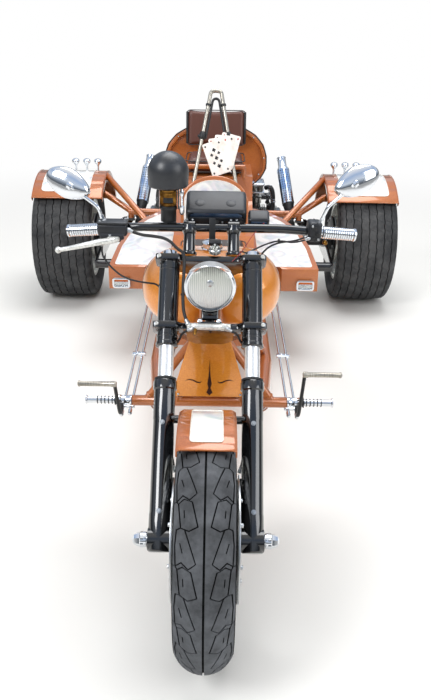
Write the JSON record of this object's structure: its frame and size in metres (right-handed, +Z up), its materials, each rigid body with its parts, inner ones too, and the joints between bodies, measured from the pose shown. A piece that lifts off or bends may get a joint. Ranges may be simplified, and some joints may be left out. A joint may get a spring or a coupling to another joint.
{
  "type": "motorised trike",
  "caption": "Copper-orange motorised trike with a long raked fork, seats for driver and passenger in line, wide rear wheels and an air-cooled flat engine behind the rear axle.",
  "frame": {"origin": "on the ground at the middle of the overall length and width", "axes": "-Y to the front, +Z up, +X on the right of a view from the front"},
  "size_m": [1.8832, 3.4769, 1.165],
  "materials": {
    "orange_paint": "gloss",
    "black_metal": "gloss",
    "chrome": "polished",
    "aluminium": "satin",
    "cast_metal": "matt",
    "tyre_rubber": "matt",
    "black_rubber": "matt",
    "black_plastic": "satin",
    "dark_leather": "satin",
    "brown_leather": "satin",
    "clear_glass": "clear",
    "red_lens": "clear",
    "card_white": "satin",
    "disc_steel": "brushed"
  },
  "bodies": {
    "frame": {"frame_backbone": "orange_paint", "frame_front": "orange_paint", "frame_rails": "orange_paint", "frame_crossmembers": "orange_paint", "front_panel": "orange_paint", "foot_controls": "chrome", "pedal_rods": "chrome", "fuel_tank": "orange_paint", "fuel_cap": "chrome", "body_tub": "orange_paint", "driver_cushion": "dark_leather", "driver_backrest": "orange_paint", "passenger_shell": "orange_paint", "passenger_cushions": "brown_leather", "sissy_bar": "chrome", "card_fan": "card_white", "front_lamps": "chrome", "axle_tubes": "black_metal", "trailing_arms": "black_metal", "rear_hoop": "orange_paint", "rear_fenders": "orange_paint", "shocks": "chrome", "fender_lamps": "chrome", "gearbox": "cast_metal", "engine_block": "cast_metal", "fan_shroud": "chrome", "air_cleaners": "chrome", "silencers": "chrome", "exhaust_headers": "cast_metal", "rear_bar": "black_metal", "tail_lamps": "red_lens", "tow_ball": "chrome"},
    "steering": {"fork_clamps": "black_metal", "stanchions": "aluminium", "fork_lowers": "black_metal", "front_axle": "chrome", "calipers": "black_metal", "front_mudguard": "orange_paint", "handlebar": "black_metal", "grips": "chrome", "control_housings": "black_plastic", "brake_lever": "aluminium", "mirrors": "chrome", "headlight_shell": "chrome", "headlight_lens": "clear_glass", "brake_manifold": "aluminium", "instruments": "black_plastic", "bulb_horn": "black_plastic", "brake_hoses": "black_rubber"},
    "front_wheel": {"front_tyre": "tyre_rubber", "front_rim": "chrome", "front_discs": "disc_steel"},
    "rear_wheel_left": {"rear_tyre_left": "tyre_rubber", "rear_rim_left": "chrome"},
    "rear_wheel_right": {"rear_tyre_right": "tyre_rubber", "rear_rim_right": "chrome"}
  },
  "joints": [
    {"name": "steering", "type": "hinge", "parent": "frame", "child": "steering", "pos_m": [0, -0.92835, 0.73445], "axis": [0, 0.6947, 0.7193], "range_deg": [-30, 30]},
    {"name": "front_wheel_spin", "type": "hinge", "parent": "steering", "child": "front_wheel", "pos_m": [0, -1.4315, 0.307], "axis": [1, 0, 0], "continuous": true},
    {"name": "rear_wheel_left_spin", "type": "hinge", "parent": "frame", "child": "rear_wheel_left", "pos_m": [-0.79, 1.0985, 0.323], "axis": [1, 0, 0], "continuous": true},
    {"name": "rear_wheel_right_spin", "type": "hinge", "parent": "frame", "child": "rear_wheel_right", "pos_m": [0.79, 1.0985, 0.323], "axis": [1, 0, 0], "continuous": true}
  ]
}
